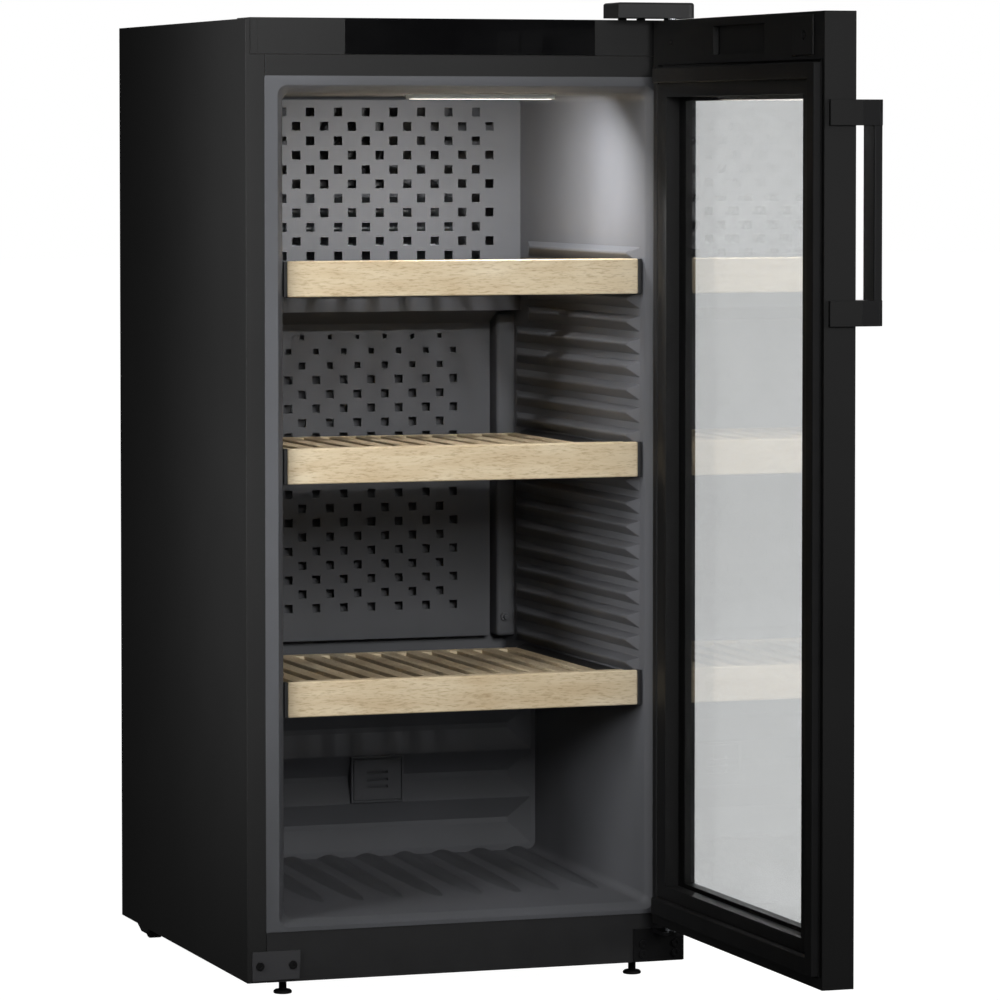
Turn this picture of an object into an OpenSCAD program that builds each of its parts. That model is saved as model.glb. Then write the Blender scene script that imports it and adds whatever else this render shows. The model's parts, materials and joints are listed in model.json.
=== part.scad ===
// Free-standing wine cooler with a glazed door, three beech shelves and a rear compressor bay.
// Origin: centre of the cabinet's footprint on the floor. +Y points to the wall, the front faces -Y.
// The door is drawn open at a right angle, which is its rest position.

/* [Cabinet] */
// Width of the cabinet
cab_w = 597; // [595:1:600]
// Depth of the cabinet behind its front plane
cab_d = 624; // [624:1:630]
// Height of the cabinet's top above the floor
cab_top = 1254; // [1254:1:1256]
// Height of the side panels' lower edge above the floor
cab_low = 20.5; // [20:0.5:21]
// Thickness of the steel sheet
sheet = 1.5; // [1:0.1:1.5]

/* [Interior] */
// Half of the cavity's width between the side walls
cav_x = 248; // [247:0.5:248]
// Height of the ceiling of the cavity
cav_top = 1161; // [1160:1:1162]
// Wall thickness of the moulded liner
liner_t = 2; // [1.5:0.1:2]
// Height of the lowest shelf rib's crest
rib_z0 = 383; // [383:1:384]
// Vertical distance between shelf ribs
rib_pitch = 30; // [30:0.5:30]
// Number of ribs on each side wall
rib_count = 20; // [20:1:20]
// How far a rib stands out of the side wall
rib_out = 13; // [12:0.5:13]

/* [Shelves] */
// Rib on which each shelf rests, counted from the lowest
shelf_ribs = [0, 10, 18];
// Height of a shelf's front board
board_h = 46; // [40:1:46]
// Thickness of a shelf's front board
board_t = 20; // [18:1:20]
// Half of a shelf's width over its end caps
shelf_x = 244.5; // [243:0.5:244.5]
// Number of slats in a shelf
slat_count = 11; // [9:2:11]

/* [Door] */
// Thickness of the door without its gasket
door_t = 41; // [40:0.5:41]
// Gap between the cabinet's front plane and the closed door
door_gap = 9; // [9:0.5:10]
// Height of the door's lower edge above the floor
door_low = 76; // [76:1:78]
// Distance of the hinge axis from the door's edge
hinge_in = 29; // [29:0.5:30]
// Distance of the hinge axis in front of the cabinet
hinge_out = 32; // [32:0.5:33]
// Angle at which the door is drawn
door_angle = 90; // [0:5:110]

/* [Hidden] */
$fn = 48;
eps = 0.01;
gap = 0.2;                                  // clearance between neighbouring pieces
half_w = cab_w / 2;
front_y = -cab_d / 2;
back_y = cab_d / 2;
frame_in = half_w - 25.7;                   // inner edge of the folded front frame
fascia_low = 1209;
fascia_x = 292;
bar_low = 1181;                             // underside of the upper crossbar
flange_x = 272.4;
flange_low = 85.6;
flange_high = 1180.7;
floor_z = 99;                               // cavity floor at the front
floor_rise = 13;                            // how much the floor climbs to the rear
hump_y = front_y + 453;                     // wall in front of the compressor bay
hump_z = 360;                               // top of the step over the compressor bay
wall_proud = 16;                            // how far the grooved wall stands in front of it
cav_back = front_y + 565;
deck_z = 48;                                // upper side of the base plate
bay_y = hump_y + 40;                        // front of the compressor bay
bay_z = 318;                                // ceiling of the compressor bay
foam_gap = 14;                              // foam starts this far behind the front plane

hinge_x = half_w - hinge_in;
hinge_y = front_y - hinge_out;
pin_r = 5;
run = 0.05;                                 // radial clearance of a running fit
door_in_y = front_y - door_gap;
door_out_y = door_in_y - door_t;
glass_x = 231;                              // half of the door's clear opening
glass_low = 130;
glass_high = 1155;
rebate = 9;                                 // how far the panes reach under the frame
door_extra = 25;                            // how far the door opens beyond a right angle
relief = hinge_x - shelf_x - 0.7;           // reach of the hinge corner towards a pulled shelf
seal_past = 5.4;                            // how far the seal reaches past the hinge axis
pane_t = 4;
pane_in_y = door_in_y - 18;                 // inner face of the inner pane
edge_x = -half_w;                           // free edge of the door when closed
grip_x = edge_x - 3;                        // pivot of the handle
grip_y = door_out_y - 9;
grip_z = [891.5, 1132.5];                   // centres of the two handle brackets
grip_h = 31;

panel_y = front_y + 500;                    // upper part of the air duct panel
panel_low_y = front_y + 540;                // lower part, set back
panel_step = 862;
hole_pitch = 40.17;
hole_row = 19.86;
fan_pos = [0, front_y + 532, 1090];
fan_r = 44;
foot_x = 240.5;
foot_y = front_y + 36.8;
foot_r = 5;
wheel_r = 19;
wheel_y = front_y + 538;
wheel_x = 275;
filter_pos = [14, hump_y, 220];
lamp_x = 46;                                // centre of the ceiling light
lamp_y = front_y + 85;
lamp_half = 98;                             // half its length
lamp_rim = 3;                               // wall of its housing

steel_black = "#2b2b2b";
liner_grey = "#55565a";
beech = "#d6c49c";
plastic_black = "#1c1c1d";
zinc = "#9a9ca0";
copper = "#b4693f";

// ---- helpers ----

module block(lo, hi) {
    translate(lo)
        cube(hi - lo);
}

// A drawing of Y and Z pulled out along X
module along_x(x0, x1) {
    translate([x0, 0, 0])
        rotate([90, 0, 90])
            linear_extrude(x1 - x0)
                children();
}

// A drawing of X and Z pulled out along +Y
module along_y(y0, y1) {
    translate([0, y1, 0])
        rotate([90, 0, 0])
            linear_extrude(y1 - y0)
                children();
}

module both_sides() {
    children();
    mirror([1, 0, 0])
        children();
}

module frame_y(half_out, low_out, high_out, half_in, low_in, high_in, y0, y1) {
    along_y(y0, y1)
        difference() {
            translate([-half_out, low_out])
                square([2 * half_out, high_out - low_out]);
            translate([-half_in, low_in])
                square([2 * half_in, high_in - low_in]);
        }
}

// Turns what is drawn for the closed door to the drawn opening angle
module on_door() {
    translate([hinge_x, hinge_y, 0])
        rotate(door_angle)
            translate([-hinge_x, -hinge_y, 0])
                children();
}

module screw_head(r, h) {
    difference() {
        cylinder(r = r, h = h);
        translate([0, 0, h / 2])
            cylinder(r = r * 0.45, h = h, $fn = 6);
    }
}

// ---- cabinet shell ----

module side_panels() {
    color(steel_black)
        both_sides() {
            difference() {
                union() {
                    block([half_w - sheet, front_y, cab_low], [half_w, back_y, cab_top]);
                    block([frame_in, front_y, cab_low], [half_w, front_y + sheet, cab_top]);
                    block([frame_in, front_y, cab_low], [frame_in + sheet, front_y + 9, bar_low]);
                }
                block([0, front_y - 1, fascia_low - gap], [fascia_x + gap, front_y + 5, cab_top + 1]);
            }
        }
}

module top_panel() {
    inner_x = half_w - sheet - gap;
    color(steel_black)
        block([-inner_x, front_y + 61, cab_top - sheet - 1], [inner_x, back_y, cab_top - 1]);
}

module rear_panel() {
    inner_x = half_w - sheet - gap;
    color(steel_black)
        block([-inner_x, back_y - sheet, bay_z], [inner_x, back_y, cab_top - sheet - 1 - gap]);
}

module cavity_section(grow) {
    polygon([
        [front_y - 1, floor_z - grow],
        [hump_y + grow, floor_z + floor_rise - grow],
        [hump_y + grow, hump_z - grow],
        [cav_back + grow, hump_z - grow],
        [cav_back + grow, cav_top + grow],
        [front_y - 1, cav_top + grow]
    ]);
}

// Section of one shelf rib in X and Z, with its crest at height z
module rib_section(z) {
    crest = cav_x - rib_out;
    polygon([[cav_x + 1, z + 7.5], [crest, z], [crest, z - 3], [cav_x + 1, z - 17]]);
}

// Plan of the ribs: pointed at the front and hipped at the rear
module rib_plan(rear) {
    start = front_y + 22;
    crest = cav_x - rib_out;
    polygon([
        [cav_x + 1, start - 2], [cav_x, start], [crest, start + 25],
        [crest, rear - 46], [cav_x, rear], [cav_x + 1, rear]
    ]);
}

module rib_group(first, last, rear) {
    intersection() {
        for (k = [first : last])
            along_y(front_y, cav_back)
                rib_section(rib_z0 + k * rib_pitch);
        linear_extrude(cav_top)
            rib_plan(rear);
    }
}

// Ridges that rise out of the sloping floor and reach their full height at the rear
module floor_waves() {
    wave = 53;
    crest = 7;
    reach = hump_y - front_y;
    half = floor(cav_x / wave);
    translate([0, front_y, floor_z - 1])
        rotate([atan((floor_rise + crest) / reach), 0, 0])
            along_y(30, reach + 20)
                polygon(concat(
                    [[-(half + 0.5) * wave, -20]],
                    [for (k = [-half : half]) each [
                        [(k - 0.5) * wave, -crest], [(k - 0.25) * wave, -crest * 0.4],
                        [k * wave, 0], [(k + 0.25) * wave, -crest * 0.4]
                    ]],
                    [[(half + 0.5) * wave, -crest], [(half + 0.5) * wave, -20]]
                ));
}

// Wall in front of the compressor bay, with horizontal grooves pressed into it
module grooved_wall() {
    face = hump_y - wall_proud;
    first = floor_z + floor_rise + 9;
    groove = 66;
    grooves = 3;
    reach = cav_x - 23;
    difference() {
        block([-cav_x, face, floor_z + floor_rise - 1], [cav_x, hump_y + 1, hump_z]);
        along_x(-reach, reach)
            polygon(concat(
                [for (k = [0 : grooves - 1]) each [
                    [face, first + k * groove], [hump_y, first + (k + 0.5) * groove]
                ]],
                [[face, first + grooves * groove], [face - 1, first + grooves * groove], [face - 1, first]]
            ));
    }
}

module liner_lip() {
    difference() {
        block([-262, front_y, floor_z - 11], [262, front_y + 12, cav_top + 14]);
        hull() {
            block([-256, front_y - 1, floor_z - 6], [256, front_y, cav_top + 9]);
            block([-cav_x, front_y + 10, floor_z + 1], [cav_x, front_y + 13, cav_top]);
        }
    }
}

module inner_liner() {
    seat = [36, 30];                        // half size of the flat seat behind the filter's cover
    color(liner_grey)
        difference() {
            union() {
                difference() {
                    along_x(-cav_x - liner_t, cav_x + liner_t)
                        cavity_section(liner_t);
                    along_x(-cav_x, cav_x)
                        cavity_section(0);
                    block([-half_w, front_y - 2, 0], [half_w, front_y + 11, cab_top]);
                }
                liner_lip();
                frame_y(flange_x, flange_low, flange_high, 257, floor_z - 7, cav_top + 10,
                        front_y, front_y + liner_t);
                both_sides() {
                    rib_group(0, 15, front_y + 526);
                    rib_group(16, rib_count - 1, front_y + 476);
                    block([221, front_y + 526, 403], [cav_x + 1, cav_back + 1, 858]);
                }
                grooved_wall();
                intersection() {
                    floor_waves();
                    block([-cav_x, front_y, floor_z - 1], [cav_x, hump_y + 1, cav_top]);
                }
                block([filter_pos[0] - seat[0], hump_y - wall_proud, filter_pos[2] - seat[1]],
                      [filter_pos[0] + seat[0], hump_y + 1, filter_pos[2] + seat[1]]);
            }
            translate(filter_pos)
                rotate([90, 0, 0])
                    cylinder(r = 26, h = 2 * wall_proud + 10, center = true);
        }
}

// Moulded foam between the liner and the sheet steel, cast in slabs
module insulation_foam() {
    skin = half_w - sheet - gap;
    side = cav_x + liner_t + gap;
    rear = back_y - sheet - gap;
    start = front_y + foam_gap;
    high = cab_top - sheet - 1 - gap;
    behind_hump = hump_y + liner_t + gap;
    core = side - gap;
    color("#e6dfc8") {
        both_sides()
            block([side, start, deck_z + gap], [skin, rear, high]);
        block([-core, front_y + 62, cav_top + liner_t + gap], [core, rear, high]);
        block([-core, cav_back + liner_t + gap, bay_z], [core, rear, cav_top + liner_t]);
        block([-core, behind_hump, bay_z], [core, cav_back + liner_t, hump_z - liner_t - gap]);
        difference() {
            block([-core, behind_hump, deck_z + gap], [core, bay_y, bay_z - gap]);
            translate(filter_pos)
                rotate([90, 0, 0])
                    cylinder(r = 27, h = 3 * liner_t + 40, center = true);
        }
        block([-core, start, deck_z + gap], [core, behind_hump - gap, floor_z - liner_t - gap]);
    }
}

module base_plate() {
    skin = half_w - sheet - gap;
    color("#3a3b3d")
        difference() {
            union() {
                block([-skin, front_y + 9 + gap, deck_z - sheet], [skin, back_y, deck_z]);
                block([-skin, back_y - sheet, cab_low + 2], [skin, back_y, deck_z]);
            }
            both_sides()
                translate([foot_x, foot_y, deck_z - 5])
                    cylinder(r = 8, h = 10);
        }
}

module lower_crossbar() {
    color(plastic_black)
        difference() {
            union() {
                block([-frame_in + gap, front_y, cab_low], [frame_in - gap, front_y + sheet, flange_low - gap]);
                block([-frame_in + gap, front_y, cab_low], [frame_in - gap, front_y + 14, cab_low + sheet]);
            }
            both_sides()
                for (z = [31.5, 44.5])
                    translate([241.4, front_y, z])
                        rotate([90, 0, 0])
                            cylinder(r = 2.5, h = 10, center = true);
        }
}

module upper_crossbar() {
    color(steel_black) {
        block([-frame_in + gap, front_y, flange_high + gap], [frame_in - gap, front_y + sheet, fascia_low - gap]);
        block([-cav_x, front_y + sheet, fascia_low - gap - sheet], [cav_x, front_y + 60, fascia_low - gap]);
    }
}

module control_fascia() {
    cap = 10;
    top = cab_top + 1.5;
    color("#3a3a3a")
        difference() {
            union() {
                block([-fascia_x + cap + gap, front_y, fascia_low], [fascia_x - cap - gap, front_y + 2.5, top]);
                block([-fascia_x, front_y + 2.5, top - 2.5], [fascia_x, front_y + 60, top]);
                both_sides()
                    block([fascia_x - cap, front_y, fascia_low], [fascia_x, front_y + 4, top]);
            }
            block([-167, front_y - 1, fascia_low - 1], [174, front_y + 0.8, top + 1]);
        }
}

module display_panel() {
    color("#0b0b0c")
        block([-166.8, front_y - 0.6, fascia_low + 0.4], [173.8, front_y + 0.8, cab_top + 1.5]);
}

module control_board() {
    board_z = fascia_low + 6;
    color("#2f6b45")
        union() {
            block([-120, front_y + 8, board_z], [120, front_y + 9.6, board_z + 36]);
            for (k = [-2 : 2])
                block([k * 42 - 9, front_y + 9.6, board_z + 8], [k * 42 + 9, front_y + 20, board_z + 26]);
        }
}

// ---- air circulation ----

module hole_rows(first, last, z_top, columns, size) {
    for (row = [first : last]) {
        shift = row % 2 == 0 ? 0.5 : 0;
        for (k = [-columns : columns - (row % 2 == 0 ? 1 : 0)])
            translate([(k + shift) * hole_pitch, z_top - row * hole_row])
                square(size, center = true);
    }
}

// Perforated cover of the evaporator: a full-width upper plate, a slope and a narrower lower plate
module air_duct_panel() {
    plate = 2;
    slope = 18;
    color(liner_grey)
        union() {
            along_y(panel_y, panel_y + plate)
                difference() {
                    translate([-cav_x + 0.5, panel_step])
                        square([2 * cav_x - 1, 1155 - panel_step]);
                    hole_rows(0, 10, 1138.2, 5, 12);
                }
            along_x(-214, 214)
                polygon([
                    [panel_y, panel_step], [panel_y + plate, panel_step],
                    [panel_low_y + plate, panel_step - slope], [panel_low_y, panel_step - slope]
                ]);
            along_y(panel_low_y, panel_low_y + plate)
                difference() {
                    translate([-215, 403])
                        square([430, panel_step - slope - 403]);
                    hole_rows(0, 0, 826, 4, 6);
                    hole_rows(1, 1, 826, 4, 8);
                    hole_rows(2, 2, 826, 4, 9);
                    hole_rows(3, 19, 826, 4, 11.5);
                }
        }
}

module evaporator() {
    y0 = panel_y + 12;
    color("#b9bcc0")
        union() {
            for (k = [0 : 15])
                block([-150 + k * 20, y0, 885], [-149.2 + k * 20, y0 + 36, 1020]);
            for (k = [0 : 4])
                translate([-155, y0 + 18, 905 + k * 24])
                    rotate([0, 90, 0])
                        cylinder(r = 4, h = 311);
        }
}

module fan_housing() {
    half = 54;
    color(plastic_black)
        translate(fan_pos)
            rotate([-90, 0, 0])
                difference() {
                    translate([-half, -half, -11])
                        cube([2 * half, 2 * half, 24]);
                    translate([0, 0, -12])
                        cylinder(r = fan_r + 4, h = 22);
                    for (turn = [0 : 90 : 270])
                        rotate(turn + 45)
                            translate([30, 0, 0])
                                cylinder(r = 13, h = 30);
                    for (x = [-1, 1], y = [-1, 1])
                        translate([x * 47, y * 47, -12])
                            cylinder(r = 2.2, h = 30);
                }
}

module fan_motor() {
    color(zinc)
        translate(fan_pos)
            rotate([-90, 0, 0]) {
                cylinder(r = 14, h = 9.8);
                translate([0, 0, -9])
                    cylinder(r = 1.5, h = 9);
            }
}

module fan_rotor() {
    color("#d9dadb")
        translate(fan_pos)
            rotate([-90, 0, 0])
                difference() {
                    union() {
                        translate([0, 0, -9])
                            cylinder(r = 15, h = 7);
                        for (turn = [0 : 60 : 300])
                            rotate(turn)
                                translate([12, -1, -6])
                                    rotate([32, 0, 0])
                                        translate([0, -7, -0.9])
                                            cube([fan_r - 12, 14, 1.8]);
                    }
                    translate([0, 0, -20])
                        cylinder(r = 1.5 + run, h = 40);
                }
}

module light_housing() {
    color("#c9cbcd")
        translate([lamp_x, lamp_y, cav_top])
            difference() {
                block([-lamp_half, -15, -8], [lamp_half, 15, -gap]);
                block([-lamp_half + lamp_rim, -15 + lamp_rim, -9], [lamp_half - lamp_rim, 15 - lamp_rim, -3]);
            }
}

module light_diffuser() {
    inset = lamp_rim + gap;
    color("#f4f4ee")
        translate([lamp_x, lamp_y, cav_top])
            block([-lamp_half + inset, -15 + inset, -8.5], [lamp_half - inset, 15 - inset, -5]);
}

module temperature_sensor() {
    color("#3c3d40")
        translate([232, front_y + 526, 430])
            rotate([90, 0, 0])
                union() {
                    cylinder(r = 6, h = 4);
                    cylinder(r = 3, h = 9);
                }
}

// ---- refrigeration in the compressor bay ----

module compressor() {
    color("#1a1a1b")
        translate([90, back_y - 66, 0])
            union() {
                rotate_extrude()
                    polygon(concat(
                        [[0, 66], [50, 66], [57, 76], [58, 150]],
                        [for (a = [15 : 15 : 90]) [58 * cos(a), 150 + 46 * sin(a)]]
                    ));
                for (x = [-1, 1])
                    block([x * 62 - 14, -52, 62], [x * 62 + 14, 52, 66.5]);
            }
}

module terminal_box() {
    color(plastic_black)
        block([8, back_y - 92, 92], [30, back_y - 40, 150]);
}

module compressor_grommets() {
    color("#151516")
        for (x = [28, 152], y = [-40, 40])
            translate([x, back_y - 66 + y, deck_z])
                difference() {
                    cylinder(r = 9, h = 62 - deck_z);
                    translate([0, 0, -1])
                        cylinder(r = 4, h = 30);
                }
}

// Serpentine tube bonded inside the right side panel
module condenser_coil() {
    tube = 2.4;
    bend = 45;
    runs = 10;
    x = half_w - sheet - gap - tube - 0.4;
    color(copper)
        union() {
            for (k = [0 : runs - 1])
                translate([x, -200, 200 + k * 2 * bend])
                    rotate([-90, 0, 0])
                        cylinder(r = tube, h = 420);
            for (k = [0 : runs - 2])
                translate([x, k % 2 == 0 ? 220 : -200, 200 + (k * 2 + 1) * bend])
                    rotate([0, 90, 0])
                        rotate(k % 2 == 0 ? 0 : 180)
                            rotate_extrude(angle = 180)
                                translate([bend, 0])
                                    circle(r = tube, $fn = 24);
        }
}

module pipe(points, r) {
    for (k = [0 : len(points) - 2]) {
        step = points[k + 1] - points[k];
        translate(points[k])
            rotate([0, acos(step[2] / norm(step)), atan2(step[1], step[0])])
                cylinder(r = r, h = norm(step), $fn = 24);
        translate(points[k + 1])
            sphere(r = r, $fn = 24);
    }
}

module refrigerant_pipes() {
    y = back_y - 50;
    color(copper)
        union() {
            pipe([[-40, y, 60], [-40, y, 80], [-40, y, 84]], 3);
            translate([-40, y, 84])
                cylinder(r = 9, h = 110);
            pipe([[-40, y, 190], [-40, y, 260], [90, y, 260], [90, y, 192]], 3);
            pipe([[-40, y, 60], [-200, y, 60], [-200, y, 300]], 3);
        }
}

module drip_tray() {
    lo = [20, back_y - 115, 212];
    hi = [160, back_y - 62, 240];
    wall = [2, 2, 2];
    color("#d8d9da")
        difference() {
            block(lo, hi);
            block(lo + wall, [hi[0] - 2, hi[1] - 2, hi[2] + 1]);
            translate([90, back_y - 66, 0])
                cylinder(r = 40, h = 211);
        }
}

module mains_inlet() {
    at = [-215, back_y, 92];
    color(plastic_black)
        translate(at)
            union() {
                difference() {
                    block([-25, -22, -14], [25, 0, 14]);
                    block([-12, -16, -8], [12, 1, 8]);
                }
                for (x = [-7, 0, 7])
                    block([x - 1, -17, x == 0 ? 1 : -4], [x + 1, -6, x == 0 ? 5 : 0]);
                block([-25, -22, -44], [25, -18, -14]);
            }
}

// ---- feet and castors ----

module castor_housings() {
    ear = 4;
    gap_x = 11.5;
    color(plastic_black)
        both_sides()
            translate([wheel_x, wheel_y, 0]) {
                for (side = [-1, 1])
                    along_x(side > 0 ? gap_x : -gap_x - ear, side > 0 ? gap_x + ear : -gap_x)
                        difference() {
                            polygon([[-38, 46], [-38, 24], [-12, 8], [12, 8], [54, 24], [54, 46]]);
                            translate([0, wheel_r])
                                circle(r = 4);
                        }
                block([-gap_x - ear, -38, 42.2], [gap_x + ear, 54, deck_z - sheet]);
                translate([-gap_x - ear, 0, wheel_r])
                    rotate([0, 90, 0])
                        cylinder(r = 4, h = 2 * (gap_x + ear));
            }
}

module castor_wheel(x) {
    color("#101011")
        translate([x, wheel_y, wheel_r])
            rotate([0, 90, 0])
                rotate_extrude()
                    polygon([
                        [4 + run, -11], [8, -11], [8, -9], [wheel_r - 1.5, -9], [wheel_r, -7.5],
                        [wheel_r, 7.5], [wheel_r - 1.5, 9], [8, 9], [8, 11], [4 + run, 11]
                    ]);
}

module castor_wheel_left() {
    castor_wheel(-wheel_x);
}

module castor_wheel_right() {
    castor_wheel(wheel_x);
}

module foot_bushes() {
    color(zinc)
        both_sides()
            translate([foot_x, foot_y, cab_low + 4])
                difference() {
                    union() {
                        cylinder(r = 8, h = deck_z - cab_low - 4);
                        translate([0, 0, deck_z - cab_low - 4 - sheet - 3])
                            cylinder(r = 13, h = 3 - gap);
                    }
                    translate([0, 0, -1])
                        cylinder(r = foot_r + run, h = 60);
                }
}

module front_foot(x) {
    color("#0d0d0e")
        translate([x, foot_y, 0])
            union() {
                rotate_extrude()
                    polygon([[0, 0], [11, 0], [12, 1], [12, 3], [10, 5], [foot_r, 5.6], [0, 5.6]]);
                cylinder(r = foot_r, h = deck_z - 1);
            }
}

module front_foot_left() {
    front_foot(-foot_x);
}

module front_foot_right() {
    front_foot(foot_x);
}

// ---- hinges and small covers ----

module lower_hinge_bracket() {
    arm_z = 60;
    arm_t = 5;
    color("#151516")
        difference() {
            union() {
                block([228, front_y - 3, 21.6], [half_w, front_y - gap, arm_z + arm_t]);
                block([hinge_x - 15, hinge_y, arm_z], [hinge_x + 15, front_y - gap, arm_z + arm_t]);
                translate([hinge_x, hinge_y, arm_z])
                    cylinder(r = 15, h = arm_t);
            }
            translate([hinge_x, hinge_y, 0])
                cylinder(r = pin_r, h = 100);
            for (x = [241.4, 287], z = [31.5, 44.5])
                translate([x, front_y, z])
                    rotate([90, 0, 0])
                        cylinder(r = 3, h = 10);
        }
}

module upper_hinge_bracket() {
    z = cab_top + 4;
    color("#151516")
        difference() {
            union() {
                block([hinge_x - 70, front_y - 8, z], [half_w - 5, front_y + 8, z + 4]);
                block([hinge_x - 9.5, hinge_y, z], [hinge_x + 9.5, front_y, z + 4]);
                translate([hinge_x, hinge_y, z])
                    cylinder(r = 9.5, h = 4);
                for (x = [-56, -30, 8])
                    block([hinge_x + x - 5, front_y + 1, cab_top + 1.5], [hinge_x + x + 5, front_y + 8, z]);
            }
            translate([hinge_x, hinge_y, z - 1])
                cylinder(r = pin_r, h = 10);
        }
}

module hinge_pins() {
    color(zinc)
        translate([hinge_x, hinge_y, 0]) {
            translate([0, 0, 60])
                cylinder(r = pin_r, h = 31);
            translate([0, 0, 65.2])
                cylinder(r = 8, h = door_low - 65.2 - 0.3);
            translate([0, 0, cab_top - 15])
                cylinder(r = pin_r, h = 23);
        }
}

module hinge_cover() {
    low = cab_top + 3.5;
    high = cab_top + 23.5;
    x0 = 190;
    x1 = half_w - 0.5;
    y0 = front_y - 45;
    y1 = front_y + 12;
    wall = 2.2;
    round_r = 12;
    color("#2b2b2b")
        difference() {
            translate([0, 0, low])
                linear_extrude(high - low)
                    union() {
                        translate([x0, y0])
                            square([x1 - x0 - round_r, y1 - y0]);
                        translate([x0, y0 + round_r])
                            square([x1 - x0, y1 - y0 - round_r]);
                        translate([x1 - round_r, y0 + round_r])
                            circle(r = round_r);
                    }
            block([x0 + wall, y0 + wall, low - 1], [x1 - round_r, y1 - wall, high - wall]);
            block([x0 + wall, y0 + round_r, low - 1], [x1 - wall, y1 - wall, high - wall]);
        }
}

module left_cover_plate() {
    color("#444446")
        difference() {
            along_y(front_y - 3, front_y - gap)
                polygon([[-292.3, 23], [-229.8, 24.2], [-228.3, 60.7], [-292.3, 60.7]]);
            for (x = [-282.4, -238.6])
                translate([x, front_y, 42.5])
                    rotate([90, 0, 0])
                        cylinder(r = 3, h = 10);
        }
}

module cabinet_screws() {
    color(zinc) {
        for (at = [[-282.4, 42.5], [-238.6, 42.5], [241.4, 31.5], [241.4, 44.5], [287, 31.5], [287, 44.5]])
            translate([at[0], front_y - 3, at[1]])
                rotate([90, 0, 0])
                    screw_head(5.4, 2.4);
        for (x = [-60, -34, -10])
            translate([hinge_x + x, front_y - 3, cab_top + 8])
                screw_head(4, 2.5);
    }
}

module filter_socket() {
    color("#3c3d40")
        translate(filter_pos)
            rotate([90, 0, 0])
                difference() {
                    translate([0, 0, -8])
                        cylinder(r = 25.8, h = wall_proud + 8);
                    translate([0, 0, -6])
                        cylinder(r = 24 + run, h = wall_proud + 20);
                }
}

// Cartridge with a rectangular louvred cover, held by a quarter turn
module charcoal_filter() {
    half_x = 37.5;
    half_z = 31.5;
    cover = wall_proud + 1;                 // where the cover starts
    color("#4a4b4e")
        translate(filter_pos)
            rotate([90, 0, 0])
                difference() {
                    union() {
                        translate([0, 0, -5.5])
                            cylinder(r = 24, h = cover + 6);
                        translate([-half_x, -half_z, cover])
                            cube([2 * half_x, 2 * half_z, 5]);
                    }
                    for (k = [-1 : 1])
                        translate([-14.5, k * 10 - 1.5, cover + 1])
                            cube([29, 3, 8]);
                }
}

// ---- door, drawn closed and then turned ----

// Leaves room at the inner hinge corner, so that the door clears a pulled shelf beyond a right angle
module hinge_relief() {
    translate([hinge_x, hinge_y, 0])
        rotate(-door_extra)
            block([-20, relief, 0], [60, 60, cab_top + 10]);
}

module door_frame() {
    swing_r = hinge_out - 1;
    color("#222223")
        on_door()
            difference() {
                union() {
                    block([edge_x, door_out_y, door_low], [hinge_x, door_in_y, cab_top]);
                    intersection() {
                        translate([hinge_x, hinge_y, door_low])
                            cylinder(r = swing_r, h = cab_top - door_low, $fn = 96);
                        block([hinge_x - eps, door_out_y, 0], [half_w, door_in_y, cab_top + 1]);
                    }
                }
                block([-glass_x, door_out_y - 1, glass_low], [glass_x, door_in_y + 1, glass_high]);
                block([-glass_x - rebate, door_out_y - 1, glass_low - rebate],
                      [glass_x + rebate, pane_in_y, glass_high + rebate]);
                block([-108, door_in_y - 2.5, 1207], [66, door_in_y + 1, 1243]);
                for (z = [door_low - 1, cab_top - 18])
                    translate([hinge_x, hinge_y, z])
                        cylinder(r = 9, h = 19);
                intersection() {
                    frame_y(285, 89, 1194, 261, 113, 1172, door_in_y - 3, door_in_y + 1);
                    block([-half_w, door_out_y, 0], [hinge_x + seal_past + gap, front_y, cab_top]);
                }
                hinge_relief();
            }
}

module door_pane(y0) {
    fit = rebate - gap;
    on_door()
        block([-glass_x - fit, y0, glass_low - fit], [glass_x + fit, y0 + pane_t, glass_high + fit]);
}

module door_outer_pane() {
    color("#9fa6a6", 0.35)
        door_pane(door_out_y + 1);
}

module door_inner_pane() {
    color("#9fa6a6", 0.35)
        door_pane(pane_in_y - pane_t);
}

module pane_spacer() {
    fit = rebate - gap;
    bar = 14;
    color("#161617")
        on_door()
            frame_y(glass_x + fit, glass_low - fit, glass_high + fit,
                    glass_x + fit - bar, glass_low - fit + bar, glass_high + fit - bar,
                    door_out_y + 1 + pane_t, pane_in_y - pane_t);
}

// Magnetic seal: full height on three sides, and a flat strip along the hinge side
module door_gasket() {
    crest = front_y - 0.3;
    low = 90;
    high = 1193;
    base_y = door_in_y - 2.8;
    color("#141415")
        on_door() {
            difference() {
                frame_y(284, low, high, 262, 112, 1173, base_y, crest);
                block([hinge_x - 8, base_y - 1, 0], [half_w, front_y + 1, cab_top]);
            }
            block([hinge_x - 7.5, base_y, low], [hinge_x + seal_past, door_in_y + 1, high]);
        }
}

module latch_cap() {
    color("#252526")
        on_door()
            difference() {
                block([-265, door_in_y, 1202], [-199, door_in_y + 2, 1250]);
                translate([-236, door_in_y, 1226])
                    rotate([-90, 0, 0])
                        cylinder(r = 6, h = 10);
            }
}

module hinge_bushes() {
    color("#c8c9ca")
        on_door()
            for (z = [door_low, cab_top - 18])
                translate([hinge_x, hinge_y, z])
                    difference() {
                        cylinder(r = 9, h = 18);
                        translate([0, 0, -1])
                            cylinder(r = pin_r + run, h = 30);
                    }
}

module door_screws() {
    color("#3a3a3b")
        on_door()
            for (x = [214, -236])
                translate([x, door_in_y, x > 0 ? 1225 : 1226])
                    rotate([-90, 0, 0])
                        screw_head(4, 1.6);
}

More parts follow.
